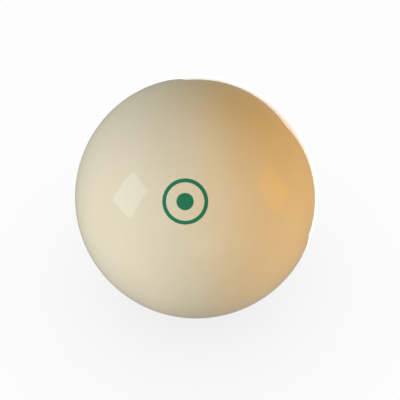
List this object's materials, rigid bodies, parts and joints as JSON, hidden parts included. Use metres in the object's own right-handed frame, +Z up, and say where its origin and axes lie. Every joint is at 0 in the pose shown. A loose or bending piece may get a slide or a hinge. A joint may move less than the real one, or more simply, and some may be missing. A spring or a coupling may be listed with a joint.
{
  "type": "cue ball",
  "caption": "Round polished ivory ball, a cast resin layer over a resin core that holds spaced steel discs, with a small inlaid ring and dot.",
  "frame": {"origin": "centre of the ball", "axes": "+Z up, -Z towards the point the ball rests on, -Y the front: the mark faces the front, 43 degrees above the horizontal"},
  "size_m": [0.0572, 0.0572, 0.0572],
  "materials": {
    "ivory_resin": "cast phenolic resin, polished to a mirror gloss",
    "core_resin": "cast resin as it leaves the mould, fine-turned",
    "disc_steel": "blanked mild steel with a fine grain",
    "mark_resin": "green resin, polished flush with the ball"
  },
  "bodies": {
    "root": {"outer_layer": "ivory_resin", "core_ball": "core_resin", "mark_ring": "mark_resin", "mark_dot": "mark_resin", "steel_disc_top": "disc_steel", "steel_disc_upper_1": "disc_steel", "steel_disc_upper_2": "disc_steel", "steel_disc_upper_3": "disc_steel", "steel_disc_upper_4": "disc_steel", "steel_disc_upper_5": "disc_steel", "steel_disc_lower_1": "disc_steel", "steel_disc_lower_2": "disc_steel", "steel_disc_lower_3": "disc_steel", "steel_disc_lower_4": "disc_steel", "steel_disc_lower_5": "disc_steel", "steel_disc_bottom": "disc_steel"}
  },
  "joints": []
}
